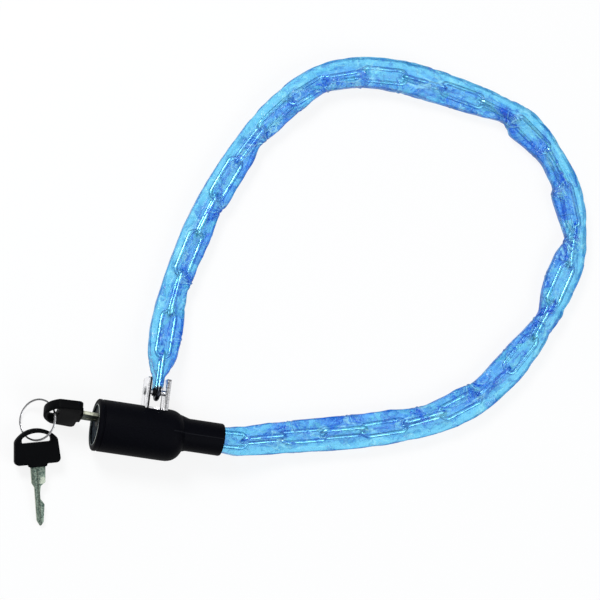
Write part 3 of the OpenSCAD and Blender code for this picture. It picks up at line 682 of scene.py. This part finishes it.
def film_on_links(s, frame_lines, inner, outer, tall, angle):
    """How near the film can come to the sleeve's middle: it is drawn tight over the links and
    over the edges of the film that lies on the floor."""
    centre, ahead, right, up = frame_lines
    middle, along = chain_bars()
    half = (PITCH + LINK_PLAY - 2 * LINK_WIRE) / 2
    bar_off = (LINK_WIDTH - LINK_WIRE) / 2
    bar_out = LINK_WIRE / 2 + FILM_GAP
    ring = 2 * np.pi * np.arange(18) / 18
    low = np.zeros_like(angle)
    for i in range(RINGS):
        spots = [(inner[i] - 0.8, -tall[i] * 0.55), (2.0 - outer[i], -tall[i] * 0.55),
                 (inner[i] * 0.7, -tall[i]), (-outer[i] * 0.7, -tall[i])]
        for k in range(max(1, int(s[i] / PITCH)), min(LINKS, int(s[i] / PITCH) + 2) + 1):
            m, d = middle[k - 1], along[k - 1]
            t = np.dot(centre[i] - m, ahead[i]) / np.dot(d, ahead[i])
            if abs(t) > half + 2 * LINK_WIRE:
                continue
            past = min(max(abs(t) - half, 0.0), bar_off)
            off = math.sqrt(max(0.0, bar_off ** 2 - past ** 2))
            shift = m + t * d - centre[i]
            dx, dy = np.dot(shift, right[i]), np.dot(shift, up[i])
            r = link_roll(k)
            for sign in (1, -1):
                bar = (dx - sign * off * math.cos(r), dy + sign * off * math.sin(r))
                spots += [(bar[0] + bar_out * math.cos(a), bar[1] + bar_out * math.sin(a)) for a in ring]
        low[i] = reach_of(hull(spots), angle[i])
    return low


def eased_along(low):
    """The same, smoothed along the sleeve."""
    kernel = np.exp(-0.5 * (np.arange(-10, 11) / 3.5) ** 2)
    kernel /= kernel.sum()
    return np.stack([np.convolve(np.pad(low[:, j], 10, "edge"), kernel, "valid") for j in range(SIDES)], 1)


def buckles(s, over):
    """Height of the folds that stand and fan out at each kink, from -1 to 1 or so."""
    fold = np.zeros_like(over)
    for at, hard in KINKS:
        lean = 0.25 * math.sin(at * 1.7)
        away = s[:, None] - at - lean * over
        fade = np.exp(-(over / (7.5 + 5 * hard)) ** 2)
        path = 0.42 * over + 0.7
        fold -= 0.75 * hard * fade * np.exp(-((abs(away) - path) / (0.8 + 0.05 * over)) ** 2)
        fold += 0.6 * hard * fade * np.exp(-(away / (0.32 * over + 0.9)) ** 2)
    return fold


def long_creases(s, over, sn):
    """Height of the creases that run along the film, in millimetres."""
    crease = np.zeros_like(over)
    for i in range(RINGS):
        for j in range(SIDES):
            a = noise.noise(Vector((s[i] / 21, over[i, j] / 3.6 + (40 if sn[j] < 0 else 0), 0.3 * s[i] / 21)))
            b = noise.noise(Vector((s[i] / 8 + 90, over[i, j] / 6.5, 3.1)))
            crease[i, j] = -0.9 * max(0.0, 0.16 - abs(a)) / 0.16 * 0.55 + 0.45 * b
    return crease


def tube_of(place, marks):
    """The sleeve's skin from its rings of points, with the marks that its material reads."""
    bm = bmesh.new()
    bm.loops.layers.uv.new("UVMap")
    bmesh.ops.create_grid(bm, x_segments=RINGS - 1, y_segments=SIDES, size=0.5, calc_uvs=True)
    layers = {name: bm.verts.layers.float.new(name) for name in marks}
    for v in bm.verts:
        i, j = round((v.co.x + 0.5) * (RINGS - 1)), round((v.co.y + 0.5) * SIDES) % SIDES
        v.co = place[i, j] * MM
        for name, layer in layers.items():
            v[layer] = marks[name][i, j]
    bmesh.ops.remove_doubles(bm, verts=bm.verts, dist=1e-7)
    bmesh.ops.recalc_face_normals(bm, faces=bm.faces)
    return bm


def draped_sleeve():
    """The lying vinyl tube: measured width on each side, let down over the chain between its
    standing links, buckled on the inner side and gathered between the fork's legs."""
    s = np.linspace(S0 - 2.2, S1, RINGS)
    centre, ahead, right, up = route_frame(s)
    inner, outer = HALF + soft(INNER, s), HALF + soft(OUTER, s)
    tall = np.minimum(centre[:, 2], np.interp(s, *zip(*TALL)))
    phi = section_angles()
    sn = np.sin(phi)
    qx, qy = squared(np.cos(phi)), squared(sn)
    x = qx[None, :] * np.where(qx[None, :] > 0, inner[:, None], outer[:, None])
    y = qy[None, :] * tall[:, None]
    angle, plain = np.arctan2(y, x), np.hypot(x, y)

    # the film is let down over the links, but stands clear where they turn as the fork is pulled
    low = film_on_links(s, (centre, ahead, right, up), inner, outer, tall, angle)
    let_down = np.maximum(eased_along(low), low)
    sag = 0.8 * np.clip((sn - 0.1) / 0.5, 0, 1)[None, :] * np.clip((s - 15) / 12, 0, 1)[:, None]
    sag = sag * np.clip((S1 - 6 - s) / 14, 0, 1)[:, None]
    clear = np.clip((TURN_REACH - abs(s - TURN_AT)) / 14, 0, 1)[:, None]
    sag = sag * (1 - clear)
    radius = plain + np.minimum(let_down - plain, 0) * sag
    room = radius - low

    # folds, by distance along and over the film from its inner edge
    over = np.where(sn >= 0, phi, 2 * np.pi - phi)[None, :] / np.pi * (inner + outer + 4)[:, None]
    fold = buckles(s, over)
    gather = 0.42 * np.cos(9 * phi)[None, :] * np.exp(-((s - 14) / 9) ** 2)[:, None] + \
        0.25 * np.cos(14 * phi + 1)[None, :] * np.exp(-((s - 24) / 8) ** 2)[:, None]
    calm = np.clip((S1 - 5 - s) / 10, 0, 1)[:, None] * np.clip((s - 9) / 6, 0.25, 1)[:, None]
    under = np.where(sn < -0.2, 0.35, 1.0)[None, :]
    lift = (fold + long_creases(s, over, sn)) * calm * under + gather
    lift = np.where(lift < 0, np.maximum(lift, -np.maximum(room * (1 - 0.85 * clear), 0) - 0.05), lift)
    shape = radius + lift
    x, y = shape * np.cos(angle), shape * np.sin(angle)
    place = centre[:, None, :] + x[:, :, None] * right[:, None, :] + y[:, :, None] * up[:, None, :]
    place[:, :, 2] = np.maximum(place[:, :, 2], FLOOR_GAP)

    near = [min(((value - at, hard) for at, hard in KINKS), key=lambda pair: abs(pair[0])) for value in s]
    # fold and under also feed the film's painted shade in the fold bottoms and on the underside, and its
    # painted highlight on the fold crests.
    marks = {"side": x / np.where(x > 0, inner[:, None], outer[:, None]),
             "fold": 0.5 + 0.5 * np.clip(fold, -1.0, 1.0),
             "under": np.clip(-1.6 * y / tall[:, None], 0.0, 1.0),
             "kink": np.broadcast_to(np.array(near)[:, :1], over.shape),
             "hard": np.broadcast_to(np.array(near)[:, 1:], over.shape),
             "over": over}
    film = blue_vinyl("blue_vinyl", solid=0.02, tint=(0.54, 0.87, 1.0), deep=(0.0, 0.28, 1.0),
                      pale=(0.08, 0.75, 1.0))
    lining = blue_vinyl("blue_vinyl_inside", solid=0.02, tint=(0.94, 0.98, 1.0),
                        deep=(0.05, 0.30, 0.88), pale=(0.1, 0.5, 0.95), inside=True)
    made = new_piece(tube_of(place, marks), "vinyl_sleeve", film, lining)
    wall = made.modifiers.new("wall", "SOLIDIFY")
    wall.thickness, wall.offset = FILM_WALL * MM, -1.0
    wall.material_offset, wall.material_offset_rim = 1, 0
    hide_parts("sleeve")
    path = [tuple(p * MM) for p in centre[::8]] + [tuple(centre[-1] * MM)]
    round((S1 - S0) * MM, 3)
    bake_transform(made)


draped_sleeve()


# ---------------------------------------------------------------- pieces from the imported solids

def eased(node, name, width, body, material, segments=2):
    """A copy of a solid's skin with its sharp edges rounded."""
    bm = bmesh.new()
    bm.from_mesh(NODES[node].data)
    bmesh.ops.remove_doubles(bm, verts=bm.verts, dist=2e-7)
    bmesh.ops.dissolve_limit(bm, angle_limit=math.radians(0.4), verts=bm.verts, edges=bm.edges)
    sharp = [e for e in bm.edges if len(e.link_faces) == 2 and e.calc_face_angle(0.0) > math.radians(28)]
    bmesh.ops.bevel(bm, geom=sharp, offset=width, offset_type="OFFSET", segments=segments, profile=0.5,
                    affect="EDGES", clamp_overlap=True, material=-1)
    bmesh.ops.triangulate(bm, faces=[f for f in bm.faces if len(f.verts) > 4])
    made = new_piece(bm, name, material, sharp=32)
    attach(made, body)
    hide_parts(node)


def paint(node, material):
    """Gives a solid that shows as it is packed its finish."""
    mesh = NODES[node].data
    mesh.materials.clear()
    mesh.materials.append(material)


jacket_black = moulded_black("jacket_black", (0.0008, 0.0009, 0.0020), 0.00035, line=True)
bow_black = moulded_black("bow_black", (0.0009, 0.0010, 0.0014), 0.00028)
fork_plate = folded_plate()
pin_plate = bright_plate("pin_plate", (0.7, 0.71, 0.73), "X", 0.2)
ring_plate = bright_plate("ring_plate", (0.82, 0.82, 0.84), "Z", 0.14)
spring_plate = bright_plate("spring_plate", (0.7, 0.71, 0.72), "Z", 0.2)
# The plug's nose is painted black as shade in the recessed mouth.
plug_brass = brass("plug_brass", (0.30, 0.27, 0.18), worn=(0.2, 0.19, 0.13), along=(40, 2600, 2600),
                   painted_shade_x=-0.0285)
# The inserted key is a darker copy of the spare's finish: painted shade on its flats and a painted highlight
# on its edges, over real rubbing.
key_brass = key_blank("key_brass", flat=(0.035, 0.05, 0.038), dark=(0.008, 0.012, 0.009),
                      rubbed=(0.72, 0.74, 0.6), face=(0, -0.951, 0.309), patch=(-0.034, 0.02))
spare_brass = key_blank("spare_brass", flat=(0.15, 0.19, 0.155), dark=(0.045, 0.075, 0.065),
                        rubbed=(0.5, 0.55, 0.45), face=(-0.032, 0.135, 0.990), patch=(-0.0529, -0.0328))
link_zinc = chain_zinc()

eased("jacket", "jacket_shell", 0.35 * MM, "lock_body", jacket_black)
eased("key_bow", "key_grip", 0.75 * MM, "key", bow_black, segments=3)
eased("spare_key_bow", "spare_key_grip", 0.75 * MM, "spare_key", bow_black, segments=3)
eased("key_blade", "key_bit", 0.12 * MM, "key", key_brass)
eased("spare_key_blade", "spare_key_bit", 0.12 * MM, "spare_key", spare_brass)
eased("shackle_fork", "fork_legs", 0.3 * MM, "fork", fork_plate)


def finished(bm, name, body, material, sharp=32):
    """A new piece from a bmesh, on its body and with its finish."""
    bmesh.ops.recalc_face_normals(bm, faces=bm.faces)
    made = new_piece(bm, name, material, sharp=sharp)
    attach(made, body)
    return made


def split_ring():
    """The key ring: two pressed-together turns of flat wire, its ends lying on the last turn."""
    centre, tilt, radius = Vector((-61.0, -1.5, 8.5)) * MM, math.radians(43), 11.0
    wide, thick, turns = 1.0, 0.31, math.radians(712)
    axis = Vector((-math.sin(tilt), 0, math.cos(tilt)))
    bm = bmesh.new()
    bmesh.ops.create_grid(bm, x_segments=1, y_segments=1, size=0.5)
    bmesh.ops.scale(bm, verts=bm.verts, vec=(wide * MM, thick * MM, 1))
    bmesh.ops.bevel(bm, geom=list(bm.verts), offset=0.09 * MM, segments=3, profile=0.5,
                    affect="VERTICES", material=-1)
    rise = 0.33 * MM
    bmesh.ops.transform(bm, verts=bm.verts, matrix=Matrix.Rotation(math.radians(90), 4, "X"))
    bmesh.ops.translate(bm, verts=bm.verts, vec=(radius * MM, 0, -rise))
    steps = 144
    bmesh.ops.spin(bm, geom=list(bm.faces) + list(bm.edges) + list(bm.verts), cent=(0, 0, 0),
                   axis=(0, 0, 1), dvec=(0, 0, 2 * rise / steps), angle=turns, steps=steps,
                   use_duplicate=False)
    place = Matrix.Translation(centre) @ Vector((0, 0, 1)).rotation_difference(axis).to_matrix().to_4x4() \
        @ Matrix.Rotation(math.radians(205), 4, "Z")
    bmesh.ops.transform(bm, verts=bm.verts, matrix=place)
    made = finished(bm, "split_ring", "ring", ring_plate, 50)
    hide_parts("key_ring")


def mouth_ring():
    """A thin bright ring pressed into the jacket's mouth, round the face plate."""
    radius, wire_radius = 11.05, 0.3
    bm = bmesh.new()
    bmesh.ops.create_circle(bm, cap_ends=False, segments=12, radius=wire_radius * MM)
    bmesh.ops.translate(bm, verts=bm.verts, vec=(radius * MM, 0, 0))
    bmesh.ops.transform(bm, verts=bm.verts, matrix=Matrix.Rotation(math.radians(90), 4, "X"))
    bmesh.ops.spin(bm, geom=list(bm.edges), cent=(0, 0, 0), axis=(0, 0, 1), angle=2 * math.pi,
                   steps=96, use_merge=True)
    bmesh.ops.transform(bm, verts=bm.verts,
                        matrix=Matrix.Translation((MOUTH_X * MM, 0, BARREL_HEIGHT * MM))
                        @ Matrix.Rotation(math.radians(90), 4, "Y"))
    finished(bm, "mouth_ring", "lock_body", rim_wire())


split_ring()
mouth_ring()

paint("lock_housing", die_cast())
paint("face_plate", pressed_face())
paint("lock_plug", plug_brass)
paint("rivet_bush", moulded_black("bush_black", (0.007, 0.007, 0.008), 0.0002))
for name in ("plug_pin", "tail_pin", "fork_rivet"):
    paint(name, pin_plate)
for i in range(1, WAFERS + 1):
    paint(f"wafer_{i}", plug_brass)
    paint(f"wafer_spring_{i}", spring_plate)
# The link in the fork is a darker copy of the chain's finish, with painted shade by the rivet.
paint("link_01", chain_zinc("fork_link_painted_shade", bright=0.8, painted_shade_y=0.0243))
for k in range(2, LINKS + 1):
    paint(f"link_{k:02d}", link_zinc)
